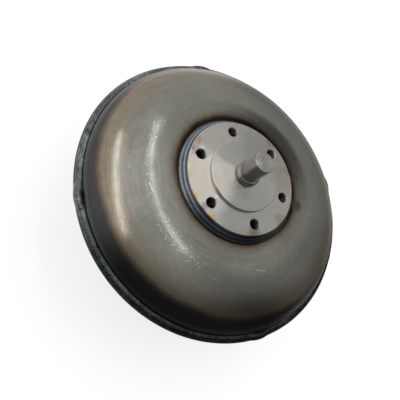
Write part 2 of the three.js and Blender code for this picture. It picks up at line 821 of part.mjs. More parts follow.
const stator = assemble(
  piece('stator_wheel', statorWheel(), castAluminium),
  piece('clutch_outer_race', clutchOuterRace(), hardSteel),
  ...numbered('clutch_spring', clutchRollerCount, clutchSpring, springSteel),
  piece('clutch_rear_plate', clutchPlate(clutchRearPlateBottom), hardSteel),
  piece('clutch_front_plate', clutchPlate(clutchRaceTop), hardSteel),
  piece('clutch_snap_ring', clutchSnapRing(), springSteel),
  piece('middle_bearing_stator_race', bearingRace(clutchFrontPlateTop), hardSteel),
  piece('rear_bearing_stator_race', bearingRace(clutchRearPlateBottom - bearingRaceThickness), hardSteel),
);

const torqueConverter = assemble(
  housing,
  turbine,
  stator,
  ...numbered('clutch_roller', clutchRollerCount, clutchRoller, hardSteel),
  piece('clutch_inner_race', clutchInnerRace(), hardSteel),
  piece('middle_bearing_needle_cage', needleCage(clutchFrontPlateTop), hardSteel),
  piece('rear_bearing_needle_cage', needleCage(hubFlangeTop), hardSteel),
);

export default torqueConverter;
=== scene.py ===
# %% [markdown]
# # A welded torque converter, engine side up
# A torque converter is an oil coupling between an engine and a gearbox.
# From outside it is two stamped steel shells, welded together round the rim.
# The engine bolts to the turned drive flange in the middle of the front cover.
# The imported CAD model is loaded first. It gives the bodies, the places and the sizes.
# The round outer pieces are turned again here with many more sides, so that they look smooth.

# %% Load the frame
import json
import math
import random

import bmesh
import bpy
from mathutils import Matrix, Vector, noise


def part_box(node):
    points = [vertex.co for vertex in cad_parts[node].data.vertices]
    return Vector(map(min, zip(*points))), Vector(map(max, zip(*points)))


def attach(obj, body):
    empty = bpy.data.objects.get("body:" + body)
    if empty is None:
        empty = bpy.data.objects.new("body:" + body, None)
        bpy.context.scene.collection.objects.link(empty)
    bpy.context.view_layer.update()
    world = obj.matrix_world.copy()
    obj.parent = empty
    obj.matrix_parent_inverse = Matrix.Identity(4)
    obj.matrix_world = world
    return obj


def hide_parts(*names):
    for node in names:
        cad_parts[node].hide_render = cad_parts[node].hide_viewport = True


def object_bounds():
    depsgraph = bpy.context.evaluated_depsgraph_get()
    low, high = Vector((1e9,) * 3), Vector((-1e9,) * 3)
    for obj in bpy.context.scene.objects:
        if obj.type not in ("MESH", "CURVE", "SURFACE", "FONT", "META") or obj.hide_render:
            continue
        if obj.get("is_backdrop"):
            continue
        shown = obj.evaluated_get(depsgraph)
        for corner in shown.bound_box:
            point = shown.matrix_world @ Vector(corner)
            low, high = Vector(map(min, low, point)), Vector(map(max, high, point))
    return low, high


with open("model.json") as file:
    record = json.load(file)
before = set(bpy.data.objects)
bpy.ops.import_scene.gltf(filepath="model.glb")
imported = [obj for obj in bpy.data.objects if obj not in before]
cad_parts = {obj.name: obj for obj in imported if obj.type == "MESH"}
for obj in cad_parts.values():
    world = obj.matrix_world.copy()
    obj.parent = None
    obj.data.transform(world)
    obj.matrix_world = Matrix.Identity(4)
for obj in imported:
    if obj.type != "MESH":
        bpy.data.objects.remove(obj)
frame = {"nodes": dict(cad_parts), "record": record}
nodes = frame["nodes"]
cad_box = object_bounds()
MM = 0.001

# %% [markdown]
# ## The camera
# The photograph looks down on the cover from about 58 degrees above the floor, and it is rolled.
# The three axes of the picture are written out, and together they are the camera's rotation.
# A 31.5 mm lens on a 36 mm sensor gives the strong perspective of a close photograph.

# %% Camera
PICTURE_RIGHT = Vector((-0.19091511, -0.88187717, 0.43109637))
PICTURE_DOWN = Vector((-0.95124966, 0.05783947, -0.30294996))
VIEW_LINE = Vector((0.24223027, -0.46791800, -0.84992779))

camera = bpy.data.objects.new("camera", bpy.data.cameras.new("camera"))
bpy.context.scene.collection.objects.link(camera)
turned = Matrix((PICTURE_RIGHT, -PICTURE_DOWN, -VIEW_LINE)).transposed()
camera.matrix_world = Matrix.Translation((-0.09420, 0.19407, 0.40412)) @ turned.to_4x4()
camera.data.sensor_width = 36
camera.data.lens = 31.5
camera.data.clip_start = 0.01
bpy.context.scene.camera = camera
bpy.context.scene.view_settings.view_transform = "Standard"
print("camera", [round(v, 3) for v in camera.matrix_world.translation])

# %% [markdown]
# ## Making node trees
# A procedural material is a graph of nodes, and a short class keeps the recipes readable.
# It adds a node, joins sockets or sets values, and does arithmetic.
# A steel sheet's finish follows the turning axis, so radius and height are its main inputs.

# %% Node helpers
NOISE_RANGE = (0.3, 0.7)
QUARTER_TURN = 0.25


class Recipe:
    """Adds nodes to one tree. An input is a value, a colour or another node's output."""

    def __init__(self, tree):
        self.tree = tree
        tree.nodes.clear()

    def add(self, kind, inputs, out=0, **settings):
        made = self.tree.nodes.new("ShaderNode" + kind)
        for key, value in settings.items():
            setattr(made, key, value)
        for key, value in inputs.items():
            if isinstance(value, bpy.types.NodeSocket):
                self.tree.links.new(value, made.inputs[key])
            else:
                made.inputs[key].default_value = value
        return made.outputs[out] if made.outputs else None

    def calculate(self, operation, first, second=0.0):
        return self.add("Math", {0: first, 1: second}, operation=operation)

    def plus(self, first, second):
        return self.calculate("ADD", first, second)

    def minus(self, first, second):
        return self.calculate("SUBTRACT", first, second)

    def times(self, first, second):
        return self.calculate("MULTIPLY", first, second)

    def dot(self, first, second):
        return self.add("VectorMath", {0: first, 1: second}, out="Value", operation="DOT_PRODUCT")

    def facing(self, way, azimuth):
        """1 where the direction from the axis has this azimuth in degrees, and -1 on the other side."""
        turn = math.radians(azimuth)
        return self.dot(way, (math.cos(turn), math.sin(turn), 0))

    def between(self, value, low, high, to_low=0.0, to_high=1.0, smooth=True):
        """Goes from to_low to to_high as value goes from low to high."""
        kind = "SMOOTHSTEP" if smooth else "LINEAR"
        span = {"Value": value, "From Min": low, "From Max": high, "To Min": to_low, "To Max": to_high}
        return self.add("MapRange", span, interpolation_type=kind)

    def spread(self, noise, to_low, to_high, smooth=True):
        """Spreads the range in which nearly all values of a noise lie."""
        return self.between(noise, *NOISE_RANGE, to_low, to_high, smooth)

    def noise(self, place, scale, detail=2.0, roughness=0.5, distortion=0.0):
        inputs = {"Vector": place, "Scale": scale, "Detail": detail, "Roughness": roughness}
        return self.add("TexNoise", {**inputs, "Distortion": distortion})

    def mix(self, share, first, second, blend="MIX"):
        """Mixes two colours."""
        inputs = {0: share, 6: first, 7: second}
        return self.add("Mix", inputs, out=2, data_type="RGBA", blend_type=blend)

    def ramp(self, value, stops):
        """A colour for each place along 0 to 1, with straight changes between the stops."""
        colours = self.add("ValToRGB", {"Fac": value})
        elements = colours.node.color_ramp.elements
        while len(elements) < len(stops):
            elements.new(0.5)
        for element, (place, colour) in zip(elements, stops):
            element.position = place
            element.color = (*colour, 1.0)
        return colours

    def grey(self, value):
        return self.add("CombineXYZ", {0: value, 1: value, 2: value})

    def place(self):
        """Object coordinates in metres, the radius, the height and the direction from the axis."""
        spot = self.add("TexCoord", {}, out="Object")
        parts = self.add("SeparateXYZ", {0: spot}).node.outputs
        flat = self.add("CombineXYZ", {0: parts[0], 1: parts[1]})
        radius = self.add("VectorMath", {0: flat}, out="Value", operation="LENGTH")
        way = self.add("VectorMath", {0: flat}, operation="NORMALIZE")
        return spot, radius, parts[2], way

    def end(self, surface):
        self.add("OutputMaterial", {"Surface": surface})

    def end_brushed(self, colour, roughness, normal, anisotropic):
        """Ends as metal that is wiped round the Z axis."""
        ring = self.add("Tangent", {}, direction_type="RADIAL", axis="Z")
        self.end(self.add("BsdfPrincipled", {
            "Base Color": colour, "Metallic": 1.0, "Roughness": roughness, "Normal": normal,
            "Anisotropic": anisotropic, "Anisotropic Rotation": QUARTER_TURN, "Tangent": ring,
        }))


def new_recipe(name):
    material = bpy.data.materials.new(name)
    material.use_nodes = True
    return material, Recipe(material.node_tree)


# %% [markdown]
# ## Floor
# The object stands on a white floor, a hair lower than the hub, so that the two faces don't touch.
# Light Path lifts the floor to white for the camera and for reflections, and the shadow stays.
# From below the floor is clear, so that the gearbox side can be looked at too.

# %% Floor
FLOOR_RADIUS, FLOOR_DROP = 8.0, 0.0002
FLOOR_GREY, FLOOR_GLOW = (0.42, 0.42, 0.42, 1), 0.68

floor_mesh = bpy.data.meshes.new("floor")
shape = bmesh.new()
bmesh.ops.create_circle(shape, cap_ends=True, segments=64, radius=FLOOR_RADIUS)
shape.to_mesh(floor_mesh)
shape.free()
floor = bpy.data.objects.new("floor", floor_mesh)
bpy.context.scene.collection.objects.link(floor)
floor.location.z = -FLOOR_DROP

paper, recipe = new_recipe("floor_paper")
path = recipe.add("LightPath", {}).node.outputs
seen = recipe.plus(path["Is Camera Ray"], path["Is Glossy Ray"])
seen = recipe.calculate("MINIMUM", recipe.plus(seen, path["Is Transmission Ray"]), 1.0)
matt = recipe.add("BsdfDiffuse", {"Color": FLOOR_GREY})
glow = recipe.add("Emission", {"Color": (1, 1, 1, 1), "Strength": recipe.times(seen, FLOOR_GLOW)})
back = recipe.add("NewGeometry", {}, out="Backfacing")
lifted = recipe.add("AddShader", {0: matt, 1: glow})
clear = recipe.add("BsdfTransparent", {})
recipe.end(recipe.add("MixShader", {0: back, 1: lifted, 2: clear}))
floor_mesh.materials.append(paper)
floor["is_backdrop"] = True

print("floor with a radius of", FLOOR_RADIUS, "m")

# %% [markdown]
# ## Studio
# Steel needs something to mirror, so the world is a plain grey studio that is paler on one side.
# The share of the pale grey is how far a direction points to that side.

# %% Studio
PALE_SIDE = (0.88, 0.47, 0)
STUDIO_GREY, STUDIO_PALE = (0.52, 0.52, 0.515, 1), (0.74, 0.735, 0.705, 1)

world = bpy.data.worlds.new("studio")
bpy.context.scene.world = world
world.use_nodes = True
recipe = Recipe(world.node_tree)
ahead = recipe.dot(recipe.add("TexCoord", {}, out="Generated"), PALE_SIDE)
studio = recipe.mix(recipe.between(ahead, -0.7, 0.8), STUDIO_GREY, STUDIO_PALE)
recipe.add("OutputWorld", {"Surface": recipe.add("Background", {"Color": studio})})
print("studio, pale towards", PALE_SIDE)

# %% [markdown]
# ## Lamps
# Steel shows what is around it, so the two bright bands on the dome are two long ceiling lamps.
# Their places follow from the mirror law: where the band lies on the dome, and where the camera is.
# A dim panel between them makes the soft glow on the left.
# The last, wide lamp lights matt surfaces, and steel doesn't mirror it.

# %% Lamps


def lamp(name, place, length, width, power, turn=0.0, mirrored=True):
    """A flat lamp that faces down."""
    made = bpy.data.objects.new(name, bpy.data.lights.new(name, "AREA"))
    made.data.shape = "RECTANGLE"
    made.data.size, made.data.size_y, made.data.energy = length, width, power
    made.location = place
    made.rotation_euler.z = math.radians(turn)
    made.visible_camera = False
    made.visible_glossy = mirrored
    bpy.context.scene.collection.objects.link(made)


lamp("ceiling_lamp_left", (0.50, 0.55, 1.23), 1.24, 0.055, 1.45, turn=-9)
lamp("ceiling_lamp_middle", (0.40, -0.15, 1.23), 1.15, 0.055, 1.15)
lamp("ceiling_panel", (0.42, 0.16, 1.25), 0.62, 0.58, 0.3)
lamp("fill_lamp", (0.2, -0.7, 1.6), 1.6, 1.6, 6.5, mirrored=False)
print("4 lamps")

# %% [markdown]
# ## Dark cards
# Photographers darken one side of shiny metal with a black card, because metal shows the card.
# The first is a curved screen on the dome's low side. Its edges fade, so that the dark side has no hard edge.
# Two thinner ones calm the right-hand side. The camera doesn't see them, and they throw no shadow.

# %% Dark cards
CARD_SECTION = ((0.09, 0.004), (0.30, 0.004), (0.40, 0.03), (0.43, 0.30), (0.40, 0.60), (0.33, 0.85), (0.24, 1.02))
CARD_STEPS = 30


def put_up(card):
    """Adds a card that only shiny metal sees."""
    bpy.context.scene.collection.objects.link(card)
    card.visible_camera = card.visible_shadow = card.visible_diffuse = False
    card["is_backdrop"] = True


def dark_card(name, middle, reach):
    """A screen curved round the object, from the floor up."""
    shape = bmesh.new()
    rows = []
    for radius, height in CARD_SECTION:
        turns = [math.radians(middle - reach + 2 * reach * i / CARD_STEPS) for i in range(CARD_STEPS + 1)]
        rows.append([shape.verts.new((radius * math.cos(t), radius * math.sin(t), height)) for t in turns])
    for low, high in zip(rows, rows[1:]):
        for i in range(CARD_STEPS):
            shape.faces.new((low[i], low[i + 1], high[i + 1], high[i]))
    mesh = bpy.data.meshes.new(name)
    shape.to_mesh(mesh)
    shape.free()
    card = bpy.data.objects.new(name, mesh)
    put_up(card)
    return card


# %% [markdown]
# ## Cloth on the cards
# The cloth is a mix of black and clear, and the share of black fades towards the edges.
# Like the steel's recipes it reads the direction from the axis and the height.

# %% Cloth on the cards
# Name, middle and reach in degrees; cloth, the degrees and heights where it thins out, its thickest cover
CARDS = [
    ("dark_card", 165, 80, "card_velvet", 79, 42, 0.34, 1.00, 0.88),
    ("grey_card_low", -80, 65, "gauze_low", 64, 36, 0.06, 0.38, 0.62),
    ("grey_card_high", -132, 45, "gauze_high", 44, 12, 0.25, 0.66, 0.38),
]


def end_cloth(recipe, cover):
    """Ends as black cloth that hides what is behind it by the share of cover."""
    clear = recipe.add("BsdfTransparent", {})
    black = recipe.add("BsdfDiffuse", {"Color": (0.02, 0.02, 0.02, 1)})
    recipe.end(recipe.add("MixShader", {0: cover, 1: clear, 2: black}))


def faded_velvet(name, middle, wide, narrow, low, high, most):
    """Black cloth that thins out to the sides and to the top. Its thickest part covers by most."""
    material, recipe = new_recipe(name)
    spot, radius, height, way = recipe.place()
    sides = recipe.between(recipe.facing(way, middle), math.cos(math.radians(wide)), math.cos(math.radians(narrow)))
    end_cloth(recipe, recipe.times(sides, recipe.between(height, low, high, most, 0.0)))
    return material


for name, middle, reach, cloth, wide, narrow, low, high, most in CARDS:
    card = dark_card(name, middle, reach)
    card.data.materials.append(faded_velvet(cloth, middle, wide, narrow, low, high, most))
print(len(CARDS), "curved cards")

# %% [markdown]
# ## Round card
# The turned faces are flat, so they mirror the part of the studio that is opposite to the camera.
# A small round card there darkens their right half. It thins out from its middle to its edge.

# %% Round card
ROUND_CARD_RADIUS, ROUND_CARD_PLACE = 0.30, Vector((0.27, -0.50, 0.60))
FACE_MIDDLE = Vector((0, 0, 0.145))

shape = bmesh.new()
bmesh.ops.create_circle(shape, cap_ends=True, segments=48, radius=ROUND_CARD_RADIUS)
mesh = bpy.data.meshes.new("round_card")
shape.to_mesh(mesh)
shape.free()
card = bpy.data.objects.new("round_card", mesh)
card.location = ROUND_CARD_PLACE
card.rotation_euler = (FACE_MIDDLE - ROUND_CARD_PLACE).to_track_quat("Z", "Y").to_euler()
put_up(card)
cloth, recipe = new_recipe("round_card_cloth")
away = recipe.add("VectorMath", {0: recipe.add("TexCoord", {}, out="Object")}, out="Value", operation="LENGTH")
end_cloth(recipe, recipe.between(away, 0.27, 0.06, 0.0, 0.9))
mesh.materials.append(cloth)
print("a round card at", [round(v, 2) for v in ROUND_CARD_PLACE])

# %% [markdown]
# ## Turning round pieces
# Nearly every outer piece is round, so one helper turns an outline round the Z axis.
# The outline is a list of radius and height in millimetres, with a fillet where a corner is broken.
# A swell function can push a point out by its place round the axis, which makes weld ripples.
# Faces that meet at more than 32 degrees keep a crisp edge, and the rest is shaded smooth.

# %% Turned pieces


def softened(corners, steps=4):
    """Rounds each corner that has a fillet: (radius, height, fillet)."""
    outline = []
    for i, corner in enumerate(corners):
        if len(corner) == 2:
            outline.append(corner)
            continue
        here = Vector(corner[:2])
        back = (Vector(corners[i - 1][:2]) - here).normalized()
        ahead = (Vector(corners[(i + 1) % len(corners)][:2]) - here).normalized()
        half = back.angle(ahead) / 2
        middle = here + (back + ahead).normalized() * (corner[2] / math.sin(half))
        reach = corner[2] / math.tan(half)
        first, last = here + back * reach - middle, here + ahead * reach - middle
        for step in range(steps + 1):
            outline.append(tuple(middle + first.lerp(last, step / steps).normalized() * corner[2]))
    return outline


def turn_outline(outline, sides, swell=None):
    """A bmesh of the outline turned round Z. An outline that starts off the axis is a closed ring."""
    shape = bmesh.new()
    rows = []
    for i, (radius, height) in enumerate(outline):
        if radius == 0:
            rows.append([shape.verts.new((0, 0, height * MM))] * sides)
            continue
        row = []
        for side in range(sides):
            turn = 2 * math.pi * side / sides
            out, up = swell(i, turn) if swell else (0, 0)
            reach = (radius + out) * MM
            row.append(shape.verts.new((reach * math.cos(turn), reach * math.sin(turn), (height + up) * MM)))
        rows.append(row)
    pairs = list(zip(rows, rows[1:])) + ([] if outline[0][0] == 0 else [(rows[-1], rows[0])])
    for low, high in pairs:
        for side in range(sides):
            after = (side + 1) % sides
            corners = dict.fromkeys((low[side], low[after], high[after], high[side]))
            if len(corners) > 2:
                shape.faces.new(list(corners))
    return shape


def finish_mesh(shape, name, crease=32):
    """Puts a bmesh into a new object, with its faces outwards."""
    bmesh.ops.recalc_face_normals(shape, faces=shape.faces[:])
    mesh = bpy.data.meshes.new(name)
    shape.to_mesh(mesh)
    shape.free()
    mesh.shade_smooth()
    mesh.set_sharp_from_angle(angle=math.radians(crease))
    piece = bpy.data.objects.new(name, mesh)
    bpy.context.scene.collection.objects.link(piece)
    return piece


def stand_in(piece, node, material):
    """Lets a piece stand for its CAD node, on the housing, in its material slot."""
    piece.data.materials.append(material)
    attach(piece, "housing")
    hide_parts(node)
    print(piece.name, len(piece.data.vertices), "points stand for", node)


# %% [markdown]
# ## Front cover
# The front cover is one round sheet of 4 mm steel, pressed into a dome in a big die.
# In section it is a quarter of an ellipse, from a straight skirt up to a flat land round the flange.
# The press leaves a slight knee, where the land's flat turns into the slope, and the light gathers there.
# The outline is worked out by that formula, and a second one inside it gives the sheet's thickness.
# Turning it with 288 sides keeps its edge round even in a close view.

# %% Front cover
SKIRT_RADIUS, SKIRT_TOP, SKIRT_BOTTOM = 143.0, 108.0, 98.0
LAND_RADIUS, LAND_HEIGHT, SHEET = 68.5, 136.0, 4.0
COVER_HOLE = 58.3
ROUND_SIDES = 288
KNEE_RADIUS, KNEE_REACH, KNEE_RISE = 90.0, 9.0, 0.50


def dome_point(angle, inset=0.0):
    """A point on the dome, from 0 degrees at the skirt to 90 at the land, moved inwards by inset."""
    turn = math.radians(angle)
    reach, rise = SKIRT_RADIUS - LAND_RADIUS, LAND_HEIGHT - SKIRT_TOP
    normal = Vector((math.cos(turn) / reach, math.sin(turn) / rise)).normalized()
    spot = Vector((LAND_RADIUS + reach * math.cos(turn), SKIRT_TOP + rise * math.sin(turn)))
    return tuple(spot - normal * inset)


def knee(radius):
    return KNEE_RISE * math.exp(-(((radius - KNEE_RADIUS) / KNEE_REACH) ** 2))


dome = [dome_point(90 * i / 72) for i in range(73)]
outer = [(SKIRT_RADIUS, SKIRT_BOTTOM)] + [(radius, height + knee(radius)) for radius, height in dome]
outer += [(COVER_HOLE + 0.4, LAND_HEIGHT), (COVER_HOLE, LAND_HEIGHT - 0.4)]
inner = [(COVER_HOLE, LAND_HEIGHT - SHEET)] + [dome_point(90 - 90 * i / 20, SHEET) for i in range(21)]
inner += [(SKIRT_RADIUS - SHEET, SKIRT_BOTTOM)]
front_cover = finish_mesh(turn_outline(outer + inner, ROUND_SIDES), "front_cover_dome")
print("front cover", len(front_cover.data.vertices), "points")

# %% [markdown]
# ## Stamped steel that was welded
# The sheet keeps its mill skin: an olive grey, wiped round in fine circles.
# Welding heat ran into it, so it is black beside each bead, then brown, then straw.
# Those tints are a ramp over the distance from the axis, moved a little by noise so they wander.
# The fine circles are noise stretched round the axis, which drives colour, gloss and bump together.
# The anisotropy is turned by a quarter, so each highlight spreads across the circles, as wiped metal does.

# %% Circles and heat tints
LEAN_ACROSS = 0.6


def wiped_circles(recipe, radius, height, way, fineness, length):
    """Noise that is fine across the sheet and long round the axis."""
    across = recipe.times(recipe.minus(radius, height), fineness)
    parts = recipe.add("SeparateXYZ", {0: way}).node.outputs
    along = [recipe.times(parts[i], length) for i in (0, 1)]
    return recipe.noise(recipe.add("CombineXYZ", {0: across, 1: along[0], 2: along[1]}), 1.0, 4.0, 0.6)


def colour_by_radius(recipe, spot, radius, tints, wander, lean):
    """A colour by the distance from the axis, from a list of (radius in mm, colour).
    The radii wander by some millimetres, and lean pushes the tints to one side."""
    low, high = tints[0][0], tints[-1][0]
    drift = recipe.spread(recipe.noise(spot, 24.0, 4.0, 0.62), -wander * MM, wander * MM, smooth=False)
    aside = recipe.dot(spot, (-lean, LEAN_ACROSS * lean, 0))
    place = recipe.plus(recipe.plus(radius, drift), aside)
    share = recipe.between(place, low * MM, high * MM, smooth=False)
    return recipe.ramp(share, [((at - low) / (high - low), colour) for at, colour in tints])


def patch(recipe, spot, centre, reach, ragged=0.35):
    """1 at a place in millimetres, falling to 0 at reach, with a ragged edge."""
    at = [v * MM for v in centre]
    away = recipe.add("VectorMath", {0: spot, 1: at}, out="Value", operation="DISTANCE")
    rough = recipe.spread(recipe.noise(spot, 160.0, 4.0, 0.65), 1 - ragged, 1 + ragged, smooth=False)
    return recipe.between(recipe.times(away, rough), reach * MM, reach * MM * 0.15)


# %% [markdown]
# ## Scuffs and scratches
# A part that was carried and stacked has a few scratches, and scuffed patches on its knee and further out.
# A scratch is a thin line between two points: the distance to that line, cut off at its width.
# Each scuffed patch is many tiny bright spots, which are fine noise with only its peaks kept. The patches lie on the
# two highlight bands, so their spots are partly real scuffs and partly painted glints.

# %% Scuffs and scratches
# Azimuth, inner and outer radius in metres, the cosine at which it ends, and its strength
SCUFFS_AND_GLINTS = [(127, 0.085, 0.098, 0.93, 0.85), (75, 0.088, 0.095, 0.80, 0.5), (84, 0.114, 0.121, 0.85, 0.2)]
# Start, end and width in millimetres, and strength
SCRATCHES = [
    ((-87.5, 3), (-89.8, -6.5), 0.75, 0.5), ((-84, 14), (-86, 4), 0.5, 0.25), ((-90, 18), (-95, 2), 0.4, 0.2),
    ((0.7, 91), (-6.7, 89.5), 0.9, 0.7), ((-6.7, 89.5), (-8, 86.5), 0.5, 0.5), ((61, 76), (52, 79), 0.8, 0.5),
    ((20, 104), (16, 107), 0.35, 0.3), ((-84, 40), (-90, 48), 0.3, 0.3), ((40, -92), (52, -88), 0.3, 0.3),
]


def scratch(recipe, spot, start, end, width):
    """1 on a thin line over the cover, given by two (x, y) places in millimetres."""
    first, last = Vector((*start, 0)) * MM, Vector((*end, 0)) * MM
    line = last - first
    flat = recipe.add("VectorMath", {0: spot, 1: (1, 1, 0)}, operation="MULTIPLY")
    gone = recipe.add("VectorMath", {0: flat, 1: first}, operation="SUBTRACT")
    share = recipe.dot(gone, line / line.length_squared)
    share = recipe.calculate("MINIMUM", recipe.calculate("MAXIMUM", share, 0.0), 1.0)
    near = recipe.add("VectorMath", {0: line, "Scale": share}, operation="SCALE")
    away = recipe.add("VectorMath", {0: gone, 1: near}, out="Value", operation="DISTANCE")
    return recipe.between(away, width * MM, width * MM * 0.3)


def cover_wear_and_glints(recipe, spot, radius, way):
    """Where the cover shines from scratches and scuffs, and from glints painted as bright spots along the highlight
    bands.
    """
    wear_and_glint_share = 0.0
    for azimuth, low, high, end, most in SCUFFS_AND_GLINTS:
        # Painted glints: bright spots of fine noise, in patches that lie on the highlight bands.
        glint_dots = recipe.between(recipe.noise(spot, 430.0 + azimuth, 3.0, 0.65), 0.52, 0.70, 0.0, most)
        outside_low = recipe.between(radius, low - 0.002, low + 0.002)
        inside_high = recipe.between(radius, high + 0.002, high - 0.002)
        near = recipe.between(recipe.facing(way, azimuth), end, 1.0 - (1.0 - end) * 0.3)
        wear_and_glint_share = recipe.plus(recipe.times(recipe.times(glint_dots, recipe.times(outside_low, inside_high)), near), wear_and_glint_share)
    for start, end, width, most in SCRATCHES:
        wear_and_glint_share = recipe.plus(wear_and_glint_share, recipe.times(scratch(recipe, spot, start, end, width), most))
    return recipe.calculate("MINIMUM", wear_and_glint_share, 1.0)


print(len(SCUFFS_AND_GLINTS), "scuffed patches and", len(SCRATCHES), "scratches")

# %% [markdown]
# ## Stamped steel
# All of that comes together in one recipe for the two pressed shells.
# The table gives radii in millimetres, each with the colour that the steel has there.

# %% Stamped steel
SHEET_GREY = (0.285, 0.284, 0.252)
WORN_AND_GLINT_GREY = (0.60, 0.59, 0.54, 1)
COVER_TINTS = [
    (58.0, (0.022, 0.023, 0.026)), (64.8, (0.020, 0.019, 0.020)), (66.0, (0.045, 0.033, 0.027)),
    (67.4, (0.120, 0.083, 0.056)), (69.2, (0.200, 0.167, 0.130)), (72.5, (0.256, 0.246, 0.212)), (77.0, SHEET_GREY),
    (108.0, SHEET_GREY), (119.0, (0.290, 0.272, 0.230)), (126.0, (0.305, 0.268, 0.212)),
    (130.5, (0.330, 0.272, 0.205)), (133.5, (0.185, 0.150, 0.115)), (136.0, (0.090, 0.083, 0.078)),
    (143.0, (0.070, 0.073, 0.075)),
]


def stamped_steel(name, tints, wear_and_glints=None, wander=1.4, lean=0.0, stains=()):
    material, recipe = new_recipe(name)
    spot, radius, height, way = recipe.place()
    cloud = recipe.noise(spot, 9.0, 4.0, 0.62, 0.4)
    mottle = recipe.noise(spot, 210.0, 3.0, 0.6)
    circles = wiped_circles(recipe, radius, height, way, 1700.0, 5.0)
    broad = wiped_circles(recipe, radius, height, way, 260.0, 1.6)
    shade = recipe.spread(cloud, 0.92, 1.06)
    for grain, dark, pale in ((circles, 0.93, 1.06), (broad, 0.96, 1.03), (mottle, 0.95, 1.05)):
        shade = recipe.times(shade, recipe.spread(grain, dark, pale))
    tinted = colour_by_radius(recipe, spot, radius, tints, wander, lean)
    for centre, reach, colour in stains:
        tinted = recipe.mix(patch(recipe, spot, centre, reach), tinted, (*colour, 1))
    own = recipe.mix(1.0, tinted, recipe.grey(shade), "MULTIPLY")
    gloss = recipe.spread(circles, 0.165, 0.235)
    gloss = recipe.plus(gloss, recipe.spread(cloud, 0.03, -0.03))
    if wear_and_glints:
        wear_and_glint_share = wear_and_glints(recipe, spot, radius, way)
        # Scratches and scuffs are paler, and the scuffs' bright spots are partly painted glints.
        own = recipe.mix(wear_and_glint_share, own, WORN_AND_GLINT_GREY)
        gloss = recipe.plus(gloss, recipe.times(wear_and_glint_share, 0.12))
    marks = recipe.plus(recipe.times(circles, 0.7), recipe.times(mottle, 0.5))
    bump = recipe.add("Bump", {"Strength": 0.2, "Distance": 0.00006, "Height": marks})
    recipe.end_brushed(own, gloss, bump, 0.5)
    return material


cover_stains = [((-31, -65, 136), 9.0, (0.13, 0.095, 0.07)), ((0, -72, 136), 7.0, (0.20, 0.165, 0.125))]
cover_steel = stamped_steel("cover_steel", COVER_TINTS, cover_wear_and_glints, 1.3, 0.034, cover_stains)
stand_in(front_cover, "front_cover", cover_steel)

# %% [markdown]
# ## Drive flange
# The flange, its spigot and the pilot pin are turned from one forging.
# A lathe leaves sharp corners that are broken with a file or a small chamfer, and they catch the light.
# The outline has those chamfers with small fillets.
# The six holes are tapped, so the tool that cuts them here carries a real helical thread.

# %% Drive flange
FACE, SPIGOT_FACE, PIN_TIP, FLANGE_BACK = 145.0, 149.0, 180.0, 122.0
BOLT_CIRCLE, BOLTS, TAP_RADIUS = 47.0, 6, 4.25
MACHINED_CREASE = 25
flange_outline = softened([
    (0, 134.0), (13.3, 134.0), (13.3, FLANGE_BACK, 0.4), (42.0, FLANGE_BACK, 0.6), (50.0, 127.5, 1.5),
    (63.0, 127.5, 0.5), (63.0, 132.0, 0.2), (58.0, 132.0, 0.3), (58.0, 144.2, 0.25), (57.2, FACE, 0.25),
    (36.0, FACE, 0.25), (36.0, 148.4, 0.2), (35.4, SPIGOT_FACE, 0.2),
    (12.6, SPIGOT_FACE, 0.4), (12.6, 154.6, 0.35), (11.2, 156.0, 0.35), (10.0, 156.0, 0.4),
    (10.0, 179.4, 0.2), (9.4, PIN_TIP, 0.2), (0, PIN_TIP),
])
drive_flange = finish_mesh(turn_outline(flange_outline, 216), "drive_flange_forging", crease=MACHINED_CREASE)
print("drive flange", len(drive_flange.data.vertices), "points")

# %% [markdown]
# ## Tapped holes
# A tap cuts a thread that climbs 1.5 mm with each turn, and a countersink opens the mouth of the hole.
# The shape that they take away is built for each hole, and a boolean cuts it out of the forging.

# %% Tapped holes


def thread_tap(name, turn):
    """The shape that one tapped hole takes away: a countersunk mouth and a helical thread."""
    pitch, depth, mouth = 1.5, 0.62, 5.45
    sides, rows_a_turn, bottom, top = 36, 8, 131.0, FACE + 1.0
    shape = bmesh.new()
    rows = []
    steps = int((top - bottom) / pitch * rows_a_turn)
    for step in range(steps + 1):
        height = bottom + (top - bottom) * step / steps
        row = []
        for side in range(sides):
            around = 2 * math.pi * side / sides
            phase = ((height - bottom) / pitch - side / sides) % 1.0
            radius = TAP_RADIUS + depth * (1 - abs(2 * phase - 1))
            radius = max(radius, mouth - (FACE - height)) if height < FACE else mouth
            row.append(shape.verts.new((radius * MM * math.cos(around), radius * MM * math.sin(around), height * MM)))
        rows.append(row)
    for low, high in zip(rows, rows[1:]):
        for side in range(sides):
            after = (side + 1) % sides
            shape.faces.new((low[side], low[after], high[after], high[side]))
    shape.faces.new(rows[0])
    shape.faces.new(rows[-1])
    bmesh.ops.triangulate(shape, faces=[face for face in shape.faces if len(face.verts) > 4])
    tap = finish_mesh(shape, name)
    tap.location = (BOLT_CIRCLE * MM * math.cos(turn), BOLT_CIRCLE * MM * math.sin(turn), 0)
    return tap


def cut_away(piece, tools):
    """Takes the tools out of the piece and removes them."""
    for tool in tools:
        cut = piece.modifiers.new("cut", "BOOLEAN")
        cut.operation, cut.solver, cut.object = "DIFFERENCE", "EXACT", tool
    bpy.context.view_layer.update()
    evaluated = piece.evaluated_get(bpy.context.evaluated_depsgraph_get())
    mesh = bpy.data.meshes.new_from_object(evaluated)
    piece.modifiers.clear()
    piece.data = mesh
    mesh.name = piece.name
    mesh.shade_smooth()
    mesh.set_sharp_from_angle(angle=math.radians(MACHINED_CREASE))
    for tool in tools:
        bpy.data.objects.remove(tool)


cut_away(drive_flange, [thread_tap(f"tap_{i}", 2 * math.pi * i / BOLTS) for i in range(BOLTS)])
print(BOLTS, "tapped holes,", len(drive_flange.data.vertices), "points")

# %% [markdown]
# ## Groove of the lathe
# A lathe tool leaves a very fine spiral groove, so the face shines in a fan that moves with the light.
# The groove is far finer than a pixel, so the recipe swings the surface direction to and fro along the radius.

# %% Groove of the lathe
GROOVE_PITCH, GROOVE_TILT = 0.00023, 0.205


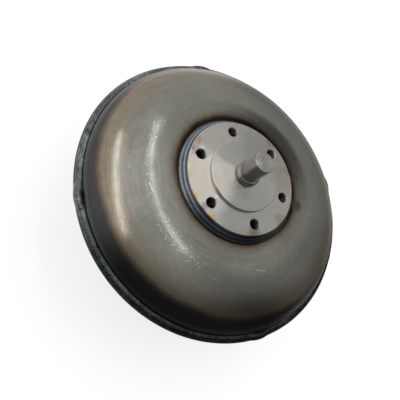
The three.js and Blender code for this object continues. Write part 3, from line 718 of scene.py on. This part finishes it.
def groove_normal(recipe, radius, height, way):
    """The surface direction on a fine turned groove, which swings to both sides across the circles."""
    normal = recipe.add("NewGeometry", {}, out="Normal")
    round_axis = recipe.add("VectorMath", {0: (0, 0, 1), 1: way}, operation="CROSS_PRODUCT")
    across = recipe.add("VectorMath", {0: normal, 1: round_axis}, operation="CROSS_PRODUCT")
    phase = recipe.times(recipe.minus(radius, height), 2 * math.pi / GROOVE_PITCH)
    swing = recipe.times(recipe.calculate("SINE", phase), GROOVE_TILT)
    swung = recipe.add("VectorMath", {0: across, "Scale": swing}, operation="SCALE")
    swung = recipe.add("VectorMath", {0: normal, 1: swung}, operation="ADD")
    return recipe.add("VectorMath", {0: swung}, operation="NORMALIZE")


print("a groove every", round(GROOVE_PITCH / MM, 2), "mm")

# %% [markdown]
# ## Nearest hole
# The walls of the tapped holes are made darker, so the recipe has to know where they are.
# The pattern has six holes, so the direction is folded into one sixth, and then one hole is enough.

# %% Nearest hole


def near_hole(recipe, spot, radius):
    """The distance in metres from the middle of the nearest of the six holes."""
    parts = recipe.add("SeparateXYZ", {0: spot}).node.outputs
    turn = recipe.calculate("ARCTAN2", parts[1], parts[0])
    sixth = math.pi / 3
    sixths = recipe.calculate("ROUND", recipe.calculate("DIVIDE", turn, sixth))
    folded = recipe.minus(turn, recipe.times(sixths, sixth))
    along = recipe.minus(recipe.times(radius, recipe.calculate("COSINE", folded)), BOLT_CIRCLE * MM)
    beside = recipe.times(radius, recipe.calculate("SINE", folded))
    squares = recipe.plus(recipe.calculate("POWER", along, 2.0), recipe.calculate("POWER", beside, 2.0))
    return recipe.calculate("SQRT", squares)


# %% [markdown]
# ## Turned steel
# Noise stretched round the axis adds the uneven circles, and the anisotropy widens the fan.
# The forging was heated by the weld, so the rim of its face has straw, peach and purple tints in places.
# Each tint is a soft patch at its own place.
# The pin's side is ground and a little darker than the faces.

# %% Turned steel
TURNED_GREY = (0.60, 0.585, 0.550)
PIN_GREY, HOLE_WALL_GREY = (0.16, 0.156, 0.152, 1), (0.10, 0.095, 0.09, 1)
FACE_TINTS = [
    ((2, 50, 145), 30.0, (1.06, 0.98, 0.90)), ((-8, -50, 145), 26.0, (0.94, 0.86, 0.77)),
    ((6, 61, 145), 9.0, (1.00, 0.80, 0.52)), ((-15, 59, 145), 9.0, (1.00, 0.74, 0.42)),
    ((22, 57, 145), 9.0, (1.00, 0.78, 0.48)), ((30, 48, 145), 7.0, (0.62, 0.50, 0.66)),
    ((39, 42, 145), 9.0, (0.90, 0.66, 0.44)), ((-28, 50, 145), 7.0, (0.52, 0.46, 0.66)),
    ((-36, 45, 145), 10.0, (0.92, 0.72, 0.46)), ((-55, 3, 145), 10.0, (0.56, 0.44, 0.34)),
    ((-46, -31, 145), 9.0, (0.85, 0.72, 0.54)), ((4, -57, 145), 9.0, (0.85, 0.74, 0.56)),
    ((36, -44, 145), 9.0, (0.84, 0.74, 0.58)),
]


def turned_steel(name, own_grey, tints=(), holes=False, gloss=(0.23, 0.26)):
    material, recipe = new_recipe(name)
    spot, radius, height, way = recipe.place()
    circles = wiped_circles(recipe, radius, height, way, 1900.0, 0.12)
    broad = wiped_circles(recipe, radius, height, way, 700.0, 0.08)
    cloud = recipe.noise(spot, 30.0, 3.0, 0.6)
    tinted = (*own_grey, 1.0)
    for centre, reach, colour in tints:
        tone = tuple(a * b for a, b in zip(own_grey, colour))
        tinted = recipe.mix(recipe.times(patch(recipe, spot, centre, reach), 0.85), tinted, (*tone, 1))
    shade = recipe.spread(circles, 0.95, 1.04)
    shade = recipe.times(shade, recipe.spread(broad, 0.96, 1.03))
    shade = recipe.times(shade, recipe.spread(cloud, 0.94, 1.05))
    own = recipe.mix(1.0, tinted, recipe.grey(shade), "MULTIPLY")
    if holes:
        pin_side = recipe.times(recipe.between(height, 0.1497, 0.1503), recipe.between(radius, 0.0093, 0.0096))
        own = recipe.mix(recipe.times(pin_side, 0.65), own, PIN_GREY)
        # The walls inside the holes, below the face, get a darker grey.
        in_hole = recipe.between(near_hole(recipe, spot, radius), 0.0060, 0.0050)
        below_face = recipe.between(height, 0.1449, 0.1440)
        own = recipe.mix(recipe.times(in_hole, below_face), own, HOLE_WALL_GREY)
    shine = recipe.spread(broad, *gloss)
    shine = recipe.times(shine, recipe.between(height, 0.1495, 0.1500, 1.0, 0.6))
    grooved = groove_normal(recipe, radius, height, way)
    bump = recipe.add("Bump", {"Strength": 0.02, "Distance": 0.00003, "Height": circles, "Normal": grooved})
    recipe.end_brushed(own, shine, bump, 0.6)
    return material


flange_steel = turned_steel("flange_steel", TURNED_GREY, FACE_TINTS, holes=True)
stand_in(drive_flange, "drive_flange", flange_steel)

# %% [markdown]
# ## Weld beads
# A robot welder lays a bead as hundreds of small overlapping pools, so it looks like a row of scales.
# Each scale is a bow, because the pool freezes from its sides, so the ripple's phase bends over the bead.
# The bead's width and height also wander slowly, as real ones do.
# Where one run starts on the end of the last, the metal piles up into a lump.

# %% Weld beads
BEAD_STEPS = 10
LUMP_REACH = 5.0


def weld_bead(name, first, last, root, bulge, scales, ripple, wander, seed, lumps=(), out=0.0, up=0.0):
    """A bead between two toes, bulging to the right of the way from the first to the last."""
    start, end = Vector(first), Vector(last)
    outwards = Vector((end.y - start.y, start.x - end.x)).normalized()
    crowns = [math.sin(math.pi * i / BEAD_STEPS) for i in range(BEAD_STEPS + 1)]
    outline = [tuple(start.lerp(end, i / BEAD_STEPS) + outwards * bulge * crown) for i, crown in enumerate(crowns)]

    def swell(i, turn):
        if i > BEAD_STEPS:
            return 0, 0
        x, y = math.cos(turn), math.sin(turn)
        slow = noise.noise(Vector((4 * x + seed, 4 * y, seed)))
        quick = noise.noise(Vector((16 * x, 16 * y + seed, seed)))
        phase = (turn * scales / (2 * math.pi) + 0.9 * (i / 5 - 1) ** 2 + 0.6 * quick) % 1.0
        scale = abs(math.sin(math.pi * phase)) ** 0.7 - 0.6
        push = outwards * (crowns[i] * (ripple * scale + wander * (slow + 0.5 * quick)))
        away = min([abs((math.degrees(turn) - centre + 180) % 360 - 180) for centre in lumps] + [LUMP_REACH])
        lump = math.cos(math.pi / 2 * min(away / LUMP_REACH, 1.0))
        return push.x + lump * out * (1 - i / BEAD_STEPS), push.y + lump * up * crowns[i]

    return finish_mesh(turn_outline(outline + [root], scales * 8, swell), name, crease=60)


flange_bead = weld_bead(
    "flange_weld_bead", (64.2, LAND_HEIGHT), (57.95, LAND_HEIGHT + 6.2), (57.9, LAND_HEIGHT - 0.4),
    bulge=0.9, scales=150, ripple=0.20, wander=0.22, seed=3.1)
print("flange weld", len(flange_bead.data.vertices), "points")

# %% [markdown]
# ## Closure weld
# The bead that joins the two shells was laid in four runs, so it has four lumps, near the quarter turns.

# %% Closure weld
RIM_RADIUS, RIM_FRONT = 149.2, 107.5
START_LUMPS = (90, 181, 270, 359)
closure_bead = weld_bead(
    "closure_weld_bead", (148.5, RIM_FRONT), (142.9, RIM_FRONT + 2.9), (142.9, RIM_FRONT - 0.3),
    bulge=1.45, scales=300, ripple=0.28, wander=0.30, seed=7.7, lumps=START_LUMPS, out=1.7, up=1.5)
print("closure weld", len(closure_bead.data.vertices), "points")

# %% [markdown]
# ## Metals with a grainy skin
# Weld oxide, die-cast aluminium, sintered bronze and blued springs all have a grain and soft patches.
# One recipe makes them: two noises mix three colours, and the finer one also drives gloss and bump.
# The bead's skin is oxide, blue-grey to green-grey, with painted shade on one side of the ring and a little painted
# light on the other.
# On the flange's bead the colours also change in rings: both toes have painted shade, and two pale rings between them
# are painted highlights.

# %% Grainy metals


def grainy_metal(name, colours, patch_scale, grain_scale, gloss, depth, metallic=1.0, painted_rings=(), painted_shade_side=None):
    material, recipe = new_recipe(name)
    spot, radius, height, way = recipe.place()
    grain = recipe.noise(spot, grain_scale, 4.0, 0.65)
    cloud = recipe.noise(spot, patch_scale, 3.0, 0.6)
    both = recipe.plus(recipe.times(grain, 0.55), recipe.times(cloud, 0.45))
    own = recipe.ramp(both, list(zip((0.37, 0.50, 0.63), colours)))
    if painted_shade_side is not None:
        # Painted shade: the side of the ring that faces the given azimuth is darkened, and the opposite side is
        # lifted a little.
        sides = recipe.between(recipe.facing(way, painted_shade_side), 0.9, -0.6, 0.38, 1.15)
        own = recipe.mix(1.0, own, recipe.grey(sides), "MULTIPLY")
    # Rings by radius multiply the colour. On the flange's bead they are painted shade at the toes and painted
    # highlights between.
    if painted_rings:
        own = recipe.mix(1.0, own, colour_by_radius(recipe, spot, radius, painted_rings, 0.25, 0.0), "MULTIPLY")
    shine = recipe.spread(grain, *gloss)
    grit = recipe.noise(spot, grain_scale * 5, 3.0, 0.6)
    marks = recipe.plus(grain, recipe.times(grit, 0.5))
    bump = recipe.add("Bump", {"Strength": 0.4, "Distance": depth * MM, "Height": marks})
    recipe.end(recipe.add("BsdfPrincipled", {
        "Base Color": own, "Metallic": metallic, "Roughness": shine, "Normal": bump,
    }))
    return material


FLANGE_OXIDE = ((0.070, 0.082, 0.098), (0.115, 0.132, 0.152), (0.17, 0.19, 0.21))
CLOSURE_OXIDE = ((0.040, 0.047, 0.050), (0.100, 0.117, 0.117), (0.23, 0.255, 0.25))
# Painted light on the flange's bead: the dark rings at both toes are painted shade, and the two pale rings are
# painted highlights along the bead.
BEAD_SHADE_AND_HIGHLIGHT_RINGS = [
    (57.9, (0.35, 0.35, 0.38)), (59.0, (0.5, 0.5, 0.55)), (60.0, (2.2, 2.2, 2.25)), (60.9, (0.6, 0.6, 0.65)),
    (61.9, (0.95, 0.95, 1.0)), (62.8, (2.9, 2.85, 2.8)), (63.5, (0.9, 0.85, 0.8)), (64.2, (0.25, 0.22, 0.2)),
]
flange_oxide = grainy_metal("weld_oxide", FLANGE_OXIDE, 22, 300, (0.26, 0.40), 0.06, 0.9)
# The flange's bead gets painted shade on its side towards 200 degrees, and the painted rings of shade and highlight.
flange_bead_oxide_painted_light = grainy_metal(
    "flange_weld_oxide_painted_light", FLANGE_OXIDE, 22, 300, (0.26, 0.40), 0.06, 0.9, painted_rings=BEAD_SHADE_AND_HIGHLIGHT_RINGS, painted_shade_side=200)
# The closure bead, and the spatter that shares its material, get painted shade on the side towards 190 degrees.
closure_oxide_painted_shade = grainy_metal(
    "closure_weld_oxide_painted_shade", CLOSURE_OXIDE, 30, 190, (0.26, 0.42), 0.12, 0.95, painted_shade_side=190)
stand_in(flange_bead, "flange_weld", flange_bead_oxide_painted_light)
stand_in(closure_bead, "closure_weld", closure_oxide_painted_shade)

# %% [markdown]
# ## Weld spatter
# Welding throws small drops of metal, and some of them freeze on the sheet beside the bead.
# Each drop is a flattened, uneven bead of its own, sunk a little into the dome.
# A fixed seed places them, so every run gives the same drops.

# %% Weld spatter


def dome_spot(radius, turn):
    """A point on the cover and the direction out of it."""
    reach, rise = SKIRT_RADIUS - LAND_RADIUS, LAND_HEIGHT - SKIRT_TOP
    share = max(radius - LAND_RADIUS, 0) / reach
    climb = math.sqrt(1 - share * share)
    up = Vector((share / reach * math.cos(turn), share / reach * math.sin(turn), climb / rise)).normalized()
    height = SKIRT_TOP + rise * climb + knee(radius)
    return Vector((radius * math.cos(turn), radius * math.sin(turn), height)), up


def spatter(name, places, seed):
    """Flattened, uneven drops on the dome, from (radius, azimuth, size)."""
    dice = random.Random(seed)
    shape = bmesh.new()
    for radius, azimuth, size in places:
        middle, up = dome_spot(radius, math.radians(azimuth))
        drop = bmesh.ops.create_icosphere(shape, subdivisions=2, radius=1.0)["verts"]
        stand = up.to_track_quat("Z", "Y").to_matrix()
        long = dice.uniform(1.0, 1.5)
        for vert in drop:
            lumpy = 1 + 0.25 * noise.noise(vert.co * 1.7 + Vector((radius, azimuth, seed)))
            flat = Vector((vert.co.x * long, vert.co.y, vert.co.z * 0.55)) * (lumpy * size)
            vert.co = (middle + stand @ flat) * MM
    return finish_mesh(shape, name, 80)


dice = random.Random(4)
drops = [(143.6 - abs(dice.gauss(0, 5)), dice.uniform(0, 360), dice.uniform(0.25, 0.60)) for _ in range(26)]
drops += [(66 + abs(dice.gauss(0, 4)), dice.uniform(0, 360), dice.uniform(0.2, 0.45)) for _ in range(14)]
drops = [(min(radius, 142.0), azimuth, size) for radius, azimuth, size in drops]
spatter_drops = spatter("weld_spatter", drops, 4)
spatter_drops.data.materials.append(closure_oxide_painted_shade)
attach(spatter_drops, "housing")
print(len(drops), "drops of spatter")

# %% [markdown]
# ## Pump shell
# The pump shell is the other stamped sheet, on the gearbox side.
# It ends in a socket for the cover's skirt and an out-turned rim that carries the closure weld.
# Its wall follows the oval oil circuit, so the same formula as in the CAD gives it, with more points.

# %% Pump shell
MID_PLANE, OIL_MIDDLE, OIL_REACH, OIL_WIDTH, PUMP_SHEET = 93.0, 88.75, 43.75, 33.0, 3.5
SOCKET_RADIUS, SOCKET_BOTTOM = 143.3, 97.7


def oil_wall(angle, inset=0.0):
    """A point on the pump's side of the oil circuit, moved outwards by inset."""
    turn = math.radians(angle)
    spot = Vector((OIL_MIDDLE + OIL_REACH * math.cos(turn), MID_PLANE - OIL_WIDTH * math.sin(turn)))
    normal = Vector((math.cos(turn) / OIL_REACH, -math.sin(turn) / OIL_WIDTH)).normalized()
    return tuple(spot + normal * inset)


inside = [oil_wall(5 + 142 * i / 40) for i in range(41)]
outside = [oil_wall(147 - 142 * i / 48, PUMP_SHEET) for i in range(49)]
shell_outline = softened([
    *inside, *outside,
    (SOCKET_RADIUS + PUMP_SHEET, SOCKET_BOTTOM - 2.4, 2.0), (SOCKET_RADIUS + PUMP_SHEET, 104.0, 1.2),
    (RIM_RADIUS, 104.0, 0.5), (RIM_RADIUS, RIM_FRONT, 0.5), (SOCKET_RADIUS, RIM_FRONT, 0.3),
    (SOCKET_RADIUS, SOCKET_BOTTOM, 0.5),
])
pump_shell = finish_mesh(turn_outline(shell_outline, ROUND_SIDES), "pump_shell_pressing")
PUMP_TINTS = [
    (48.0, (0.050, 0.045, 0.042)), (54.0, (0.110, 0.080, 0.055)), (58.0, (0.200, 0.165, 0.120)),
    (66.0, SHEET_GREY), (128.0, SHEET_GREY), (135.0, (0.205, 0.170, 0.130)),
    (140.0, (0.110, 0.095, 0.080)), (144.0, (0.066, 0.066, 0.064)), (150.0, (0.056, 0.058, 0.058)),
]
pump_steel = stamped_steel("pump_shell_steel", PUMP_TINTS)
stand_in(pump_shell, "pump_shell", pump_steel)

# %% [markdown]
# ## Pump hub
# The sleeve on the gearbox side turns in an oil seal, so it is ground bright.
# Two slots in its end drive the oil pump. They are milled, so they are cut out of the turned sleeve.
# Its thick flange is welded into the pump shell by one more bead.

# %% Pump hub
HUB_BORE, HUB_RADIUS, HUB_FLANGE_RADIUS = 20.5, 24.0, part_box("pump_hub")[1].x / MM
HUB_FLANGE_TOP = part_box("pump_hub")[1].z / MM
HUB_FLANGE_THICKNESS = 16.0
HUB_FLANGE_BOTTOM = HUB_FLANGE_TOP - HUB_FLANGE_THICKNESS
hub_outline = softened([
    (HUB_BORE, 0.0, 0.4), (HUB_RADIUS - 1.0, 0.0, 0.3), (HUB_RADIUS, 1.0, 0.3),
    (HUB_RADIUS, HUB_FLANGE_BOTTOM, 4.0), (HUB_FLANGE_RADIUS, HUB_FLANGE_BOTTOM, 0.8),
    (HUB_FLANGE_RADIUS, HUB_FLANGE_TOP, 0.5), (HUB_BORE, HUB_FLANGE_TOP, 0.5),
])
pump_hub = finish_mesh(turn_outline(hub_outline, 192), "pump_hub_sleeve", crease=MACHINED_CREASE)


def slot_mill(width, depth, length):
    """The box that the two drive slots take away, with its inner corners rounded by the cutter."""
    shape = bmesh.new()
    bmesh.ops.create_cube(shape, size=1.0)
    bmesh.ops.scale(shape, vec=(length * MM, width * MM, 2 * depth * MM), verts=shape.verts[:])
    upper = [edge for edge in shape.edges if all(vert.co.z > 0 for vert in edge.verts)]
    corners = [edge for edge in upper if abs(edge.verts[0].co.x - edge.verts[1].co.x) > 0.01]
    bmesh.ops.bevel(shape, geom=corners, offset=1.6 * MM, segments=5, affect="EDGES")
    return finish_mesh(shape, "slot_mill")


cut_away(pump_hub, [slot_mill(width=10.0, depth=12.0, length=60.0)])
ground_steel = turned_steel("ground_steel", (0.55, 0.54, 0.52), gloss=(0.24, 0.32))
stand_in(pump_hub, "pump_hub", ground_steel)

# %% [markdown]
# ## Hub weld
# This bead has no picture to follow, so its toes come from the box of the bead in the CAD.

# %% Hub weld
weld_low, weld_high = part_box("hub_weld")
toe_out, toe_top, toe_low = weld_high.x / MM, weld_high.z / MM, weld_low.z / MM
hub_bead = weld_bead(
    "hub_weld_bead", (HUB_FLANGE_RADIUS - 0.1, toe_low + 0.6), (toe_out - 0.4, toe_top - 3.4),
    (HUB_FLANGE_RADIUS, toe_top - 0.5), bulge=0.5, scales=140, ripple=0.16, wander=0.15, seed=5.3)
stand_in(hub_bead, "hub_weld", flange_oxide)
print("hub weld toes", toe_out, toe_top, toe_low)

# %% [markdown]
# ## Metals of the inner pieces
# Through the pump hub one sees the splines of the clutch and of the turbine, and the pilot bush behind them.
# The CAD solids have the right shapes there, so they stay, and each gets the metal that it is made of.
# Blades are brazed into their rings, which leaves a brassy film, and the springs are blued.

# %% Metals of the inner pieces
INNER_METALS = {
    "stamped_steel": cover_steel,
    "turned_steel": ground_steel,
    "weld_bead": flange_oxide,
    "hard_steel": turned_steel("hardened_steel", (0.46, 0.46, 0.465), gloss=(0.20, 0.30)),
    "blade_steel": grainy_metal(
        "brazed_blade_steel", ((0.17, 0.12, 0.08), (0.31, 0.29, 0.26), (0.42, 0.35, 0.25)),
        35, 240, (0.34, 0.50), 0.06),
    "spring_steel": grainy_metal(
        "blued_spring_steel", ((0.05, 0.07, 0.12), (0.10, 0.13, 0.19), (0.17, 0.20, 0.26)),
        60, 400, (0.25, 0.38), 0.02),
    "cast_aluminium": grainy_metal(
        "cast_aluminium", ((0.42, 0.43, 0.43), (0.53, 0.54, 0.54), (0.62, 0.62, 0.61)), 40, 520, (0.42, 0.60), 0.10),
    "bronze": grainy_metal(
        "sintered_bronze", ((0.30, 0.19, 0.08), (0.50, 0.35, 0.17), (0.62, 0.46, 0.25)), 45, 800, (0.34, 0.52), 0.08),
}
dressed = {"front_cover", "drive_flange", "flange_weld", "pump_shell", "closure_weld", "pump_hub", "hub_weld"}
for subpart in frame["record"]["subparts"]:
    if subpart["node"] not in dressed:
        mesh = nodes[subpart["node"]].data
        mesh.materials.clear()
        mesh.materials.append(INNER_METALS[subpart["material_slot"]])
print(len(nodes) - len(dressed), "inner pieces have their metals")

# %% [markdown]
# ## Pilot bush
# The bush in the back of the drive flange carries the nose of the input shaft.
# It is pressed from sintered bronze, with a small chamfer at each end that leads the shaft in.

# %% Pilot bush
bush_low, bush_high = (corner.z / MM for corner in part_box("pilot_bush"))
bush_outline = softened([
    (10.5, bush_low + 0.8, 0.2), (11.3, bush_low, 0.2), (12.5, bush_low, 0.2), (13.0, bush_low + 0.5, 0.2),
    (13.0, bush_high - 0.5, 0.2), (12.5, bush_high, 0.2), (11.3, bush_high, 0.2), (10.5, bush_high - 0.8, 0.2),
])
pilot_bush = finish_mesh(turn_outline(bush_outline, 96), "pilot_bush_ring")
stand_in(pilot_bush, "pilot_bush", INNER_METALS["bronze"])

# %% [markdown]
# ## Last measurements
# The dressed part has to stay inside the box of the CAD, so both boxes are written down side by side.

# %% Last measurements
visual_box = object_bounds()
for label, box in (("cad", cad_box), ("visual", visual_box)):
    print(label, [[round(v / MM, 2) for v in corner] for corner in box])
